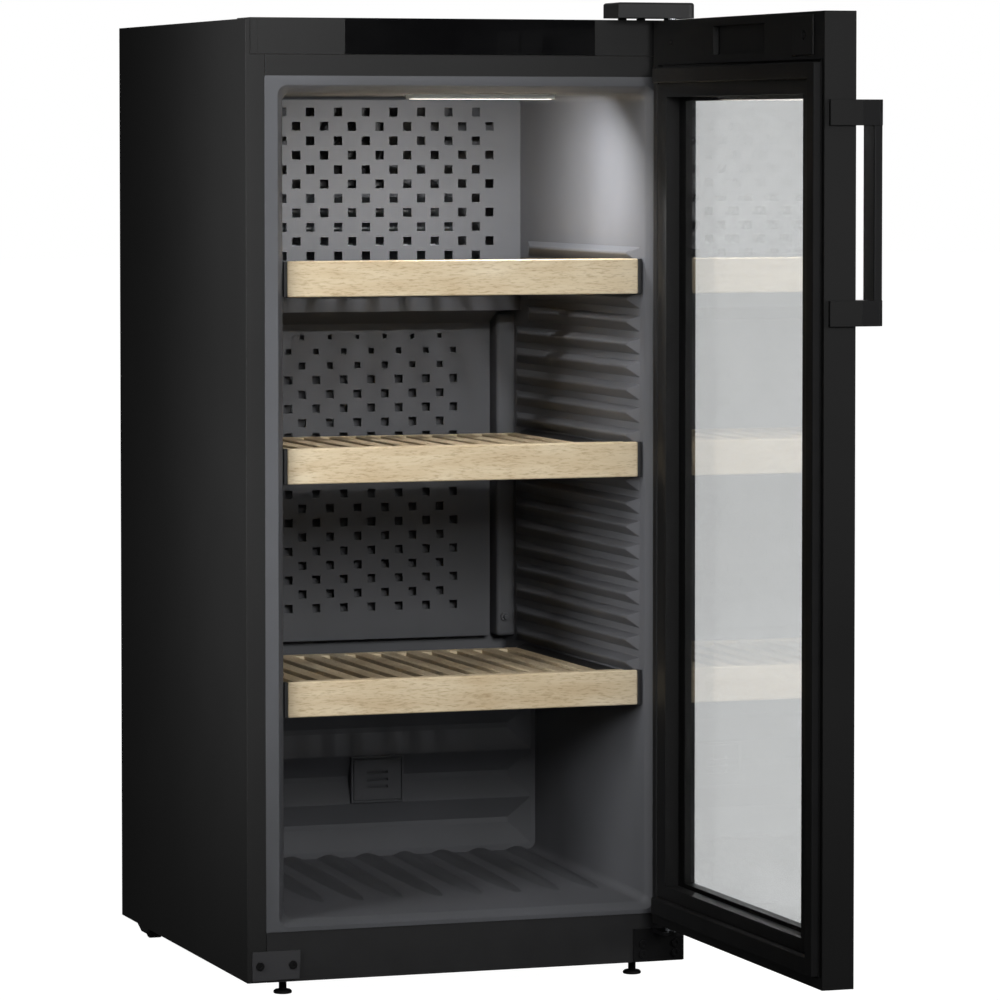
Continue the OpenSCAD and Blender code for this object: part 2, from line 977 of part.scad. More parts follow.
// Brackets fixed round the door's free edge, each with one hinge knuckle
module handle_mounts() {
    lug_y = door_out_y - 6;
    color("#1b1b1c")
        on_door()
            for (z = grip_z)
                translate([0, 0, z])
                    difference() {
                        union() {
                            block([edge_x - 6, lug_y, -grip_h / 2], [edge_x, door_in_y - 5.5, grip_h / 2]);
                            block([edge_x, lug_y, -grip_h / 2], [edge_x + 30, door_out_y, grip_h / 2]);
                            translate([grip_x, grip_y, -5])
                                cylinder(r = 3, h = 10);
                            block([grip_x - 3, grip_y, -5], [grip_x + 3, lug_y, 5]);
                        }
                        translate([grip_x, grip_y, -20])
                            cylinder(r = 1.5 + run, h = 40);
                    }
}

// Flat bar with two arms that turn on the knuckles when it is pulled
module handle_grip() {
    arm_y = door_out_y - 7;
    tip_y = door_out_y - 34.8;
    wide = 36;
    chamfer = 6;
    color("#161617")
        on_door()
            union() {
                for (z = grip_z)
                    translate([0, 0, z])
                        difference() {
                            translate([0, 0, -grip_h / 2])
                                linear_extrude(grip_h)
                                    polygon([
                                        [edge_x - 6, arm_y], [edge_x - 6, tip_y + chamfer],
                                        [edge_x - 6 + chamfer, tip_y], [edge_x - 6 + wide, tip_y],
                                        [edge_x - 6 + wide, arm_y]
                                    ]);
                            block([edge_x - 7, grip_y - 3.6, -5.4], [grip_x + 6, arm_y + 1, 5.4]);
                        }
                for (z = grip_z)
                    translate([grip_x, grip_y, z - 12])
                        cylinder(r = 1.5, h = 24);
                block([edge_x - 4, tip_y + 1.8, grip_z[0]], [edge_x - 6 + wide, tip_y + 12.8, grip_z[1]]);
            }
}

// ---- shelves ----

function shelf_z(level) = rib_z0 + shelf_ribs[level] * rib_pitch;

module shelf_board(level) {
    z = shelf_z(level) - 24.5;
    y = front_y + 12.6;
    end = 20;                               // length of the thinned end
    wood = shelf_x - 5;
    color(beech)
        union() {
            block([-shelf_x + end, y, z], [shelf_x - end, y + board_t, z + board_h]);
            block([-wood, y, z], [wood, y + 8, z + board_h]);
        }
}

module shelf_frame(level) {
    crest = shelf_z(level);
    y0 = front_y + 12.6 + board_t;
    y1 = front_y + 472;
    rail = 20;
    rail_x = 231;
    low = crest - 12;
    high = crest + 9;
    pitch = 2 * (rail_x - rail / 2) / (slat_count + 1);
    color(beech)
        union() {
            both_sides()
                block([rail_x - rail, y0, low], [rail_x, y1, high]);
            block([-rail_x, y1 - rail, low], [rail_x, y1, high]);
            block([-rail_x, (y0 + y1) / 2 - 15, low], [rail_x, (y0 + y1) / 2 + 15, crest]);
            for (k = [1 : slat_count])
                block([-rail_x + rail / 2 + k * pitch - 11, y0, crest - 1],
                      [-rail_x + rail / 2 + k * pitch + 11, y1 - rail / 2, high]);
        }
}

// Dark end caps of the board and the runners that rest on the ribs
module shelf_slides(level) {
    crest = shelf_z(level);
    y0 = front_y + 12.6;
    color("#232324")
        both_sides() {
            block([shelf_x - 5, y0, crest - 24.5], [shelf_x, y0 + 8, crest + 21.5]);
            along_y(y0 + 8, front_y + 470)
                polygon([
                    [231, crest + 0.4], [235, crest + 0.4], [244, crest + 5.6],
                    [244, crest + 14], [231, crest + 9]
                ]);
        }
}

module shelf_lower_board() { shelf_board(0); }
module shelf_lower_frame() { shelf_frame(0); }
module shelf_lower_slides() { shelf_slides(0); }
module shelf_middle_board() { shelf_board(1); }
module shelf_middle_frame() { shelf_frame(1); }
module shelf_middle_slides() { shelf_slides(1); }
module shelf_upper_board() { shelf_board(2); }
module shelf_upper_frame() { shelf_frame(2); }
module shelf_upper_slides() { shelf_slides(2); }

side_panels();
top_panel();
rear_panel();
inner_liner();
insulation_foam();
base_plate();
lower_crossbar();
upper_crossbar();
control_fascia();
display_panel();
control_board();
air_duct_panel();
evaporator();
fan_housing();
fan_motor();
fan_rotor();
light_housing();
light_diffuser();
temperature_sensor();
compressor();
terminal_box();
compressor_grommets();
condenser_coil();
refrigerant_pipes();
drip_tray();
mains_inlet();
castor_housings();
castor_wheel_left();
castor_wheel_right();
foot_bushes();
front_foot_left();
front_foot_right();
lower_hinge_bracket();
upper_hinge_bracket();
hinge_pins();
hinge_cover();
left_cover_plate();
cabinet_screws();
filter_socket();
charcoal_filter();
door_frame();
door_outer_pane();
door_inner_pane();
pane_spacer();
door_gasket();
latch_cap();
hinge_bushes();
door_screws();
handle_mounts();
handle_grip();
shelf_lower_board();
shelf_lower_frame();
shelf_lower_slides();
shelf_middle_board();
shelf_middle_frame();
shelf_middle_slides();
shelf_upper_board();
shelf_upper_frame();
shelf_upper_slides();
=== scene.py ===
import json
import math
import bpy
from mathutils import Matrix, Vector


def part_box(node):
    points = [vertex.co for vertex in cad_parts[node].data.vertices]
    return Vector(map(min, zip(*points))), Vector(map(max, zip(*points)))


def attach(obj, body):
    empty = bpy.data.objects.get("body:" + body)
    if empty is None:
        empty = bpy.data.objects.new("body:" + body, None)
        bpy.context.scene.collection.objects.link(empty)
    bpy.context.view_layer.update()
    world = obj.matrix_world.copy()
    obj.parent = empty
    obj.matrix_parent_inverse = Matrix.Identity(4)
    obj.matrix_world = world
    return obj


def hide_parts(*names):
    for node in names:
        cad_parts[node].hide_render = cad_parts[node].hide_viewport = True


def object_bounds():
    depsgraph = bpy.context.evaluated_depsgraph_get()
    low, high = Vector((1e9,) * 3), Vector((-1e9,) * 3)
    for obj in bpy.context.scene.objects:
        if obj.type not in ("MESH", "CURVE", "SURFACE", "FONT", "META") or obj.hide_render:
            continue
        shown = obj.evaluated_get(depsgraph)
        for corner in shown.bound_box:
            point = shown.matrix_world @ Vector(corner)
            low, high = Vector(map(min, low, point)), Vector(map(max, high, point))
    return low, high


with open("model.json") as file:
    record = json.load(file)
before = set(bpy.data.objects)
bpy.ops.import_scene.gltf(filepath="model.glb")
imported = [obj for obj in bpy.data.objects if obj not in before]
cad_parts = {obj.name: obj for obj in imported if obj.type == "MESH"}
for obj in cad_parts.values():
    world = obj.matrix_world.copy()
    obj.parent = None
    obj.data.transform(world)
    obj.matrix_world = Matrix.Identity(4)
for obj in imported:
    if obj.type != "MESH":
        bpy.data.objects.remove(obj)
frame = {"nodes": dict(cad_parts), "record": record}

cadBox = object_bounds()
mm = 0.001
mergeGap = 0.02 * mm
smoothAngle = math.radians(40)
print("frame loaded:", len(frame["nodes"]), "nodes")


# small tools

def hexColour(code):
    parts = [int(code[k:k + 2], 16) / 255 for k in (1, 3, 5)]
    return (*[p / 12.92 if p <= 0.04045 else ((p + 0.055) / 1.055) ** 2.4 for p in parts], 1)


def addNode(tree, kind, settings=None, links=None):
    node = tree.nodes.new(kind)
    for key, value in (settings or {}).items():
        if key == "ramp":
            stops = node.color_ramp.elements
            while len(stops) < len(value):
                stops.new(0.5)
            for stop, (place, colour) in zip(stops, value):
                stop.position = place
                stop.color = hexColour(colour)
        elif isinstance(key, int) or key in node.inputs:
            node.inputs[key].default_value = value
        else:
            setattr(node, key, value)
    for key, (source, output) in (links or {}).items():
        tree.links.new(source.outputs[output], node.inputs[key])
    return node


def only(piece):
    bpy.ops.object.select_all(action="DESELECT")
    piece.select_set(True)
    bpy.context.view_layer.objects.active = piece


def startBlock(name, low, high):
    bpy.ops.object.select_all(action="DESELECT")
    low, high = Vector(low), Vector(high)
    bpy.ops.mesh.primitive_cube_add(size=1, location=(low + high) / 2)
    piece = bpy.context.object
    piece.name = name
    piece.scale = high - low
    bpy.ops.object.transform_apply(location=True, rotation=True, scale=True)
    return piece


# A round bar that lies front to back
def startRound(name, centre, radius, length, sides):
    bpy.ops.object.select_all(action="DESELECT")
    bpy.ops.mesh.primitive_cylinder_add(vertices=sides, radius=radius, depth=length,
                                        location=centre, rotation=(math.pi / 2, 0, 0))
    piece = bpy.context.object
    piece.name = name
    bpy.ops.object.transform_apply(location=True, rotation=True, scale=True)
    return piece


# Opens the piece in edit mode with the faces, edges or points selected that pass the test
def pick(piece, kind, test):
    if bpy.context.mode != "OBJECT":
        bpy.ops.object.mode_set(mode="OBJECT")
    only(piece)
    bpy.ops.object.mode_set(mode="EDIT")
    bpy.ops.mesh.select_mode(type=kind)
    bpy.ops.mesh.select_all(action="DESELECT")
    bpy.ops.object.mode_set(mode="OBJECT")
    mesh = piece.data
    if kind == "FACE":
        for face in mesh.polygons:
            face.select = bool(test(face.center, face.normal))
    elif kind == "EDGE":
        for edge in mesh.edges:
            a, b = (mesh.vertices[k].co for k in edge.vertices)
            edge.select = bool(test((a + b) / 2, (b - a).normalized()))
    else:
        for point in mesh.vertices:
            point.select = bool(test(point.co, point.normal))
    bpy.ops.object.mode_set(mode="EDIT")


def done():
    bpy.ops.object.mode_set(mode="OBJECT")


def move(x=0, y=0, z=0):
    bpy.ops.transform.translate(value=(x, y, z))


def stretch(centre, x=1, y=1, z=1):
    bpy.ops.transform.resize(value=(x, y, z), center_override=centre)


def extrude(x=0, y=0, z=0):
    bpy.ops.mesh.extrude_region_move(TRANSFORM_OT_translate={"value": (x, y, z)})


def soften(piece, width, segments=2, angle=30):
    only(piece)
    bevel = piece.modifiers.new("rounded edges", "BEVEL")
    bevel.width = width
    bevel.segments = segments
    bevel.limit_method = "ANGLE"
    bevel.angle_limit = math.radians(angle)
    bpy.ops.object.modifier_apply(modifier=bevel.name)
    bpy.ops.object.shade_smooth_by_angle(angle=smoothAngle)
    level = piece.modifiers.new("level faces", "WEIGHTED_NORMAL")
    level.keep_sharp = True
    bpy.ops.object.modifier_apply(modifier=level.name)


def cut(piece, *tools):
    for tool in tools:
        only(piece)
        carve = piece.modifiers.new("cut", "BOOLEAN")
        carve.operation = "DIFFERENCE"
        carve.object = tool
        bpy.ops.object.modifier_apply(modifier=carve.name)
        bpy.data.objects.remove(tool)


def copyPiece(piece, name, shift=(0, 0, 0), mirrorX=False):
    twin = piece.copy()
    twin.data = piece.data.copy()
    bpy.context.scene.collection.objects.link(twin)
    twin.name = name
    if mirrorX:
        twin.data.transform(Matrix.Scale(-1, 4, (1, 0, 0)))
        only(twin)
        bpy.ops.object.mode_set(mode="EDIT")
        bpy.ops.mesh.select_all(action="SELECT")
        bpy.ops.mesh.normals_make_consistent(inside=False)
        done()
    twin.data.transform(Matrix.Translation(shift))
    return twin


def join(name, pieces):
    only(pieces[0])
    for piece in pieces:
        piece.select_set(True)
    bpy.ops.object.join()
    pieces[0].name = name
    return pieces[0]


# A merged copy of a frame node, with flat faces joined up so that its edges can be rounded
def nodeCopy(node, name):
    piece = frame["nodes"][node].copy()
    piece.data = piece.data.copy()
    piece.parent = None
    for key in list(piece.keys()):
        del piece[key]
    bpy.context.scene.collection.objects.link(piece)
    piece.hide_render = False
    piece.hide_viewport = False
    piece.name = name
    only(piece)
    bpy.ops.object.mode_set(mode="EDIT")
    bpy.ops.mesh.select_all(action="SELECT")
    bpy.ops.mesh.remove_doubles(threshold=mergeGap)
    bpy.ops.mesh.dissolve_limited(angle_limit=math.radians(1))
    done()
    return piece


def settle(piece, body, slotName, *nodes):
    piece.data.materials.clear()
    piece.data.materials.append(finishes[slotName])
    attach(piece, body)
    if nodes:
        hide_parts(*nodes)
    return piece


# camera and studio

view = {"place": (-2.13035, -6.6012, 1.09833), "yaw": -0.3328, "pitch": -0.0445, "lens": 185.2,
        "sensor": 36, "shiftY": -0.13, "farthest": 60}
bpy.ops.object.camera_add(location=view["place"],
                          rotation=(math.pi / 2 + view["pitch"], 0, view["yaw"]))
camera = bpy.context.object
camera.data.lens = view["lens"]
camera.data.sensor_width = view["sensor"]
camera.data.shift_y = view["shiftY"]
camera.data.clip_end = view["farthest"]
bpy.context.scene.camera = camera
bpy.context.scene.view_settings.view_transform = "Standard"

# the room counts as bright only where it is seen directly or through the glass
studio = {"room": "#ffffff", "roomLight": 0.05, "floorSize": 80, "floorDrop": 0.5, "paper": "#6e6e6e",
          "paperRough": 0.9, "glow": "#ffffff", "floorGlow": 1.0}
roomColour = hexColour(studio["room"])
world = bpy.data.worlds.new("studio")
bpy.context.scene.world = world
world.use_nodes = True
tree = world.node_tree
tree.nodes.clear()
ray = addNode(tree, "ShaderNodeLightPath")
direct = addNode(tree, "ShaderNodeMath", {"operation": "MAXIMUM"},
                 {0: (ray, "Is Camera Ray"), 1: (ray, "Is Transmission Ray")})
dim = addNode(tree, "ShaderNodeBackground", {"Color": roomColour, "Strength": studio["roomLight"]})
bright = addNode(tree, "ShaderNodeBackground", {"Color": roomColour, "Strength": 1})
mixed = addNode(tree, "ShaderNodeMixShader", {}, {0: (direct, 0), 1: (dim, 0), 2: (bright, 0)})
addNode(tree, "ShaderNodeOutputWorld", {}, {"Surface": (mixed, 0)})


def areaLight(name, place, target, size, power, spread=180):
    bpy.ops.object.select_all(action="DESELECT")
    aim = (Vector(target) - Vector(place)).to_track_quat("-Z", "Y").to_euler()
    bpy.ops.object.light_add(type="AREA", location=place, rotation=aim)
    lamp = bpy.context.object
    lamp.name = name
    lamp.data.shape = "RECTANGLE"
    lamp.data.size, lamp.data.size_y = size
    lamp.data.energy = power
    lamp.data.spread = math.radians(spread)
    lamp.visible_camera = False


lights = {
    "keyLight": {"place": (-0.3, -3.6, 1.65), "target": (0, -0.3, 0.8), "size": (1.2, 0.8),
                 "power": 9.9, "spread": 70},
    "sideLight": {"place": (-0.95, -0.62, 1.08), "target": (-0.3, -0.28, 0.88), "size": (0.3, 1.3),
                  "power": 2.8, "spread": 60},
    "rimLight": {"place": (2.4, -2.0, 1.4), "target": (0.3, -0.6, 0.9), "size": (0.6, 1.6),
                 "power": 8, "spread": 90},
    "topLight": {"place": (-0.4, -0.7, 4.2), "target": (0, 0, 1.0), "size": (2.5, 2.5), "power": 9},
    "backLight": {"place": (1.5, 4.5, 2.4), "target": (0, 0.3, 0.7), "size": (2.0, 2.4), "power": 40},
}
for name, values in lights.items():
    areaLight(name, **values)

bpy.ops.object.select_all(action="DESELECT")
floorLevel = cadBox[0].z - studio["floorDrop"] * mm
bpy.ops.mesh.primitive_plane_add(size=studio["floorSize"], location=(0, 0, floorLevel))
floor = bpy.context.object
floor.name = "studioFloor"
bpy.ops.object.transform_apply(location=True, rotation=True, scale=True)
floor.visible_glossy = False
floor.visible_diffuse = False
paper = bpy.data.materials.new("matt paper floor")
paper.use_nodes = True
paperShader = paper.node_tree.nodes["Principled BSDF"]
paperShader.inputs["Base Color"].default_value = hexColour(studio["paper"])
paperShader.inputs["Roughness"].default_value = studio["paperRough"]
paperShader.inputs["Specular IOR Level"].default_value = 0
paperShader.inputs["Emission Color"].default_value = hexColour(studio["glow"])
paperShader.inputs["Emission Strength"].default_value = studio["floorGlow"]
floor.data.materials.append(paper)
print("camera, lights and floor set")


# finishes

# Starts a material: its shader, and one fine texture that varies the roughness and lifts the surface
def startFinish(name, settings, grain=None):
    material = bpy.data.materials.new(name)
    material.use_nodes = True
    tree = material.node_tree
    tree.nodes.clear()
    shader = addNode(tree, "ShaderNodeBsdfPrincipled", settings)
    addNode(tree, "ShaderNodeOutputMaterial", {}, {"Surface": (shader, "BSDF")})
    place = addNode(tree, "ShaderNodeTexCoord")
    if grain:
        noise = addNode(tree, "ShaderNodeTexNoise",
                        {"Scale": 1 / (grain["size"] * mm), "Detail": 3},
                        {"Vector": (place, "Object")})
        bump = addNode(tree, "ShaderNodeBump",
                       {"Strength": grain["strength"], "Distance": grain["depth"] * mm},
                       {"Height": (noise, 0)})
        tree.links.new(bump.outputs[0], shader.inputs["Normal"])
        rough = settings["Roughness"]
        spread = addNode(tree, "ShaderNodeMapRange",
                         {"To Min": rough - grain["vary"], "To Max": rough + grain["vary"]},
                         {"Value": (noise, 0)})
        tree.links.new(spread.outputs[0], shader.inputs["Roughness"])
    return material, tree, shader, place


# Slow change of tone over a surface, from one colour to another
def driftColour(tree, shader, place, size, first, second):
    cloud = addNode(tree, "ShaderNodeTexNoise", {"Scale": 1 / (size * mm), "Detail": 2},
                    {"Vector": (place, "Object")})
    tone = addNode(tree, "ShaderNodeValToRGB", {"ramp": [(0.3, first), (0.7, second)]}, {0: (cloud, 0)})
    tree.links.new(tone.outputs[0], shader.inputs["Base Color"])
    return tone


finishes = {}


# powder-coated steel: a satin black skin with a very fine orange-peel, seen as soft broken reflections
def powderSteel(name, first, second, rough, specular):
    material, tree, shader, place = startFinish(
        name, {"Roughness": rough, "Specular IOR Level": specular},
        {"size": 1.4, "strength": 0.12, "depth": 0.05, "vary": 0.04})
    driftColour(tree, shader, place, 180, first, second)
    return material


finishes["black_steel"] = powderSteel("powder-coated black steel", "#232323", "#262626", 0.5, 0.16)
finishes["grey_steel"] = powderSteel("powder-coated grey steel", "#3b3b3d", "#414143", 0.5, 0.25)
finishes["door_black"] = powderSteel("powder-coated black aluminium", "#171717", "#1a1a1a", 0.5, 0.16)
finishes["black_metal"] = powderSteel("stoved black enamel on steel", "#0f0f10", "#141415", 0.45, 0.18)


# vacuum-formed polystyrene liner: a smooth grey skin with a faint matt texture
def linerPlastic():
    material, tree, shader, place = startFinish(
        "vacuum-formed grey polystyrene", {"Roughness": 0.55, "Specular IOR Level": 0.22},
        {"size": 0.9, "strength": 0.08, "depth": 0.04, "vary": 0.05})
    driftColour(tree, shader, place, 120, "#535457", "#58595d")
    return material


finishes["liner_plastic"] = linerPlastic()


# injection-moulded ABS with a spark-eroded grain: small pits that break up the light
def mouldedPlastic(name, first, second, rough, size=0.8, specular=0.35):
    material, tree, shader, place = startFinish(
        name, {"Roughness": rough, "Specular IOR Level": specular},
        {"size": size, "strength": 0.3, "depth": 0.06, "vary": 0.06})
    driftColour(tree, shader, place, 40, first, second)
    return material


finishes["black_plastic"] = mouldedPlastic("grained black ABS", "#202021", "#252526", 0.5)
finishes["light_plastic"] = mouldedPlastic("natural white nylon", "#cfd0ce", "#dadad6", 0.45)
finishes["foam"] = mouldedPlastic("polyurethane foam", "#d9cfae", "#e6dfc8", 0.9, 2.5, 0.1)
finishes["black_rubber"] = mouldedPlastic("moulded EPDM rubber", "#0f0f10", "#151516", 0.7, 0.6, 0.25)


# acrylic front over a touch display: deep black with sharp reflections and a trace of wiping marks
def glossPanel():
    material, tree, shader, place = startFinish(
        "polished black acrylic", {"Roughness": 0.14, "Specular IOR Level": 0.2, "Coat Weight": 0.1},
        {"size": 30, "strength": 0.02, "depth": 0.05, "vary": 0.03})
    driftColour(tree, shader, place, 60, "#060607", "#09090a")
    return material


finishes["gloss_black"] = glossPanel()


# zinc-plated steel: a bluish grey passivated layer with cloudy spangles
def zincSteel():
    material, tree, shader, place = startFinish(
        "zinc-plated steel", {"Roughness": 0.35, "Metallic": 1},
        {"size": 2, "strength": 0.1, "depth": 0.03, "vary": 0.1})
    spangle = addNode(tree, "ShaderNodeTexVoronoi", {"Scale": 1 / (5 * mm)}, {"Vector": (place, "Object")})
    tone = addNode(tree, "ShaderNodeValToRGB", {"ramp": [(0.1, "#9ea1a6"), (0.9, "#b9bcc0")]},
                   {0: (spangle, "Distance")})
    tree.links.new(tone.outputs[0], shader.inputs["Base Color"])
    return material


finishes["zinc"] = zincSteel()


# drawn copper tube: warm metal with darker patches where it has tarnished
def copperTube():
    material, tree, shader, place = startFinish(
        "drawn copper tube", {"Roughness": 0.32, "Metallic": 1},
        {"size": 1.5, "strength": 0.08, "depth": 0.03, "vary": 0.1})
    driftColour(tree, shader, place, 14, "#8a4a2e", "#c47a4e")
    return material


finishes["copper"] = copperTube()


# circuit board: green solder mask over copper tracks that show as a faint grid
def circuitBoard():
    material, tree, shader, place = startFinish(
        "solder-masked circuit board", {"Roughness": 0.35},
        {"size": 1, "strength": 0.1, "depth": 0.03, "vary": 0.05})
    tracks = addNode(tree, "ShaderNodeTexBrick",
                     {"Scale": 1 / (24 * mm), "Color1": hexColour("#1f5a36"), "Color2": hexColour("#26663e"),
                      "Mortar": hexColour("#3c8a58"), "Mortar Size": 0.02}, {"Vector": (place, "Object")})
    tree.links.new(tracks.outputs[0], shader.inputs["Base Color"])
    return material


finishes["circuit_board"] = circuitBoard()


# opal polycarbonate over the ceiling light: milky, lit from inside
def opalDiffuser():
    material, tree, shader, place = startFinish(
        "opal polycarbonate", {"Roughness": 0.4, "Emission Strength": 2.2},
        {"size": 1.5, "strength": 0.05, "depth": 0.03, "vary": 0.05})
    driftColour(tree, shader, place, 30, "#f2f2ec", "#fafaf6")
    glow = driftColour(tree, shader, place, 60, "#fff6e6", "#fffaf0")
    tree.links.new(glow.outputs[0], shader.inputs["Emission Color"])
    return material


finishes["diffuser"] = opalDiffuser()


# insulating glass: clear, with a slight grey tint that drifts over the pane
def tintedGlass():
    material, tree, shader, place = startFinish(
        "tinted insulating glass", {"Roughness": 0.0, "IOR": 1.45, "Transmission Weight": 1})
    film = addNode(tree, "ShaderNodeTexNoise", {"Scale": 1 / (90 * mm), "Detail": 2},
                   {"Vector": (place, "Object")})
    tone = addNode(tree, "ShaderNodeValToRGB", {"ramp": [(0.2, "#f1f2f2"), (0.8, "#f4f5f5")]},
                   {0: (film, 0)})
    tree.links.new(tone.outputs[0], shader.inputs["Base Color"])
    return material


finishes["tinted_glass"] = tintedGlass()


# planed beech under a matt oil: pale cream-brown, long soft growth bands, short dark flecks along the grain
def beechWood(name, along):
    material, tree, shader, place = startFinish(name, {"Roughness": 0.55, "Specular IOR Level": 0.25})
    band = {"X": (0.12, 1, 1), "Y": (1, 0.12, 1)}[along]
    fleck = {"X": (0.16, 1, 1), "Y": (1, 0.16, 1)}[along]
    bandMap = addNode(tree, "ShaderNodeMapping", {"Scale": band}, {"Vector": (place, "Object")})
    fleckMap = addNode(tree, "ShaderNodeMapping", {"Scale": fleck}, {"Vector": (place, "Object")})
    bands = addNode(tree, "ShaderNodeTexNoise", {"Scale": 1 / (16 * mm), "Detail": 4, "Distortion": 0.6},
                    {"Vector": (bandMap, 0)})
    flecks = addNode(tree, "ShaderNodeTexNoise", {"Scale": 1 / (1.8 * mm), "Detail": 5, "Roughness": 0.6},
                     {"Vector": (fleckMap, 0)})
    patches = addNode(tree, "ShaderNodeTexNoise", {"Scale": 1 / (90 * mm), "Detail": 2},
                      {"Vector": (place, "Object")})
    base = addNode(tree, "ShaderNodeValToRGB",
                   {"ramp": [(0.25, "#cdb999"), (0.5, "#d8c8aa"), (0.75, "#e2d5bb")]}, {0: (bands, 0)})
    dark = addNode(tree, "ShaderNodeValToRGB", {"ramp": [(0.32, "#bdac94"), (0.5, "#ffffff")]},
                   {0: (flecks, 0)})
    soft = addNode(tree, "ShaderNodeValToRGB", {"ramp": [(0.3, "#f2ede6"), (0.7, "#ffffff")]},
                   {0: (patches, 0)})
    marked = addNode(tree, "ShaderNodeMix", {"data_type": "RGBA", "blend_type": "MULTIPLY", 0: 0.55},
                     {6: (base, 0), 7: (dark, 0)})
    final = addNode(tree, "ShaderNodeMix", {"data_type": "RGBA", "blend_type": "MULTIPLY", 0: 1.0},
                    {6: (marked, 2), 7: (soft, 0)})
    tree.links.new(final.outputs[2], shader.inputs["Base Color"])
    bump = addNode(tree, "ShaderNodeBump", {"Strength": 0.15, "Distance": 0.1 * mm}, {"Height": (flecks, 0)})
    tree.links.new(bump.outputs[0], shader.inputs["Normal"])
    return material


finishes["beech"] = beechWood("planed beech, grain across", "X")
beechLong = beechWood("planed beech, grain front to back", "Y")
print("finishes made:", len(finishes))

# bodies and finishes of the frame's own nodes
bodies = frame["record"]["behaviour"]["bodies"]
bodyOf = {node: body for body, members in bodies.items() for node in members}
slotOf = {part["node"]: part["material_slot"] for part in frame["record"]["subparts"]}


def size(node):
    low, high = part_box(node)
    return low, high, (low + high) / 2


# inner liner: a vacuum-formed shell with a rolled lip, a step over the compressor and pressed grooves
liner = {"side": 248, "floorUp": 13.4, "ceilingDown": 19.7, "wallBack": 453, "step": 360, "back": 565,
         "floorRise": 13, "corner": 13, "skin": 1.6, "lipDepth": 12, "lipOut": 9, "lipShare": 0.75,
         "lipSteps": [(3, 0.25), (4, 0.35), (3.5, 0.3), (1.5, 0.1)], "edgeIn": 0.5, "edgeTurn": 1.2}
low, high, middle = size("inner_liner")
front = low.y
side = liner["side"] * mm
floorZ = low.z + liner["floorUp"] * mm
ceilingZ = high.z - liner["ceilingDown"] * mm
lipY = front + liner["lipDepth"] * mm
wallY = front + liner["wallBack"] * mm
shell = startBlock("linerShell", (-side, lipY, floorZ), (side, wallY, ceilingZ))
pick(shell, "FACE", lambda c, n: True)
bpy.ops.mesh.bisect(plane_co=(0, 0, liner["step"] * mm), plane_no=(0, 0, 1))
pick(shell, "FACE", lambda c, n: n.y > 0.9 and c.z > liner["step"] * mm)
extrude(y=(liner["back"] - liner["wallBack"]) * mm)
pick(shell, "VERT", lambda c, n: c.y > wallY - mm and c.z < floorZ + mm)
move(z=liner["floorRise"] * mm)
pick(shell, "FACE", lambda c, n: n.y < -0.9)
bpy.ops.mesh.delete(type="FACE")
done()
soften(shell, liner["corner"] * mm, 5)
centre = (0, lipY, (floorZ + ceilingZ) / 2)
halfHeight = (ceilingZ - floorZ) / 2
pick(shell, "EDGE", lambda c, d: c.y < lipY + 0.1 * mm)
for out, share in liner["lipSteps"]:
    grow = out * liner["lipShare"] * mm
    extrude(y=-share * liner["lipDepth"] * mm)
    stretch(centre, x=1 + grow / side, z=1 + grow / halfHeight)

# the flange runs flat from the lip to its edge and turns back there
flangeX, flangeHalf = high.x, (high.z - low.z) / 2
edgeIn, edgeOut = liner["edgeIn"] * mm, liner["lipOut"] * mm
extrude()
stretch(centre, x=(flangeX - edgeIn) / (side + edgeOut), z=(flangeHalf - edgeIn) / (halfHeight + edgeOut))
move(z=(low.z + high.z) / 2 - centre[2])
extrude(y=liner["edgeTurn"] * mm)
done()

# the round corners of the flange's edge are drawn together to square ones
square = {"reach": 16, "edge": 2.5, "across": 14, "deep": 3, "shrink": 0.02}


def nearCorner(point, cornerX, cornerZ):
    offX, offZ = abs(point.x - cornerX), abs(point.z - cornerZ)
    if point.y >= front + square["deep"] * mm or max(offX, offZ) >= square["reach"] * mm:
        return False
    return min(offX, offZ) < square["edge"] * mm or offX + offZ < square["across"] * mm


for cornerX in (-flangeX, flangeX):
    for cornerZ in (low.z, high.z):
        pick(shell, "VERT", lambda c, n: nearCorner(c, cornerX, cornerZ))
        point = (cornerX - math.copysign(edgeIn, cornerX), front,
                 cornerZ - math.copysign(edgeIn, cornerZ - centre[2]))
        stretch(point, x=square["shrink"], z=square["shrink"])
        done()
pick(shell, "FACE", lambda c, n: True)
bpy.ops.mesh.remove_doubles(threshold=mergeGap)
bpy.ops.mesh.normals_make_consistent(inside=False)
done()
only(shell)
wall = shell.modifiers.new("wall", "SOLIDIFY")
wall.thickness = liner["skin"] * mm
wall.offset = 1
bpy.ops.object.modifier_apply(modifier=wall.name)
bpy.ops.object.shade_smooth_by_angle(angle=smoothAngle)
parts = [shell]

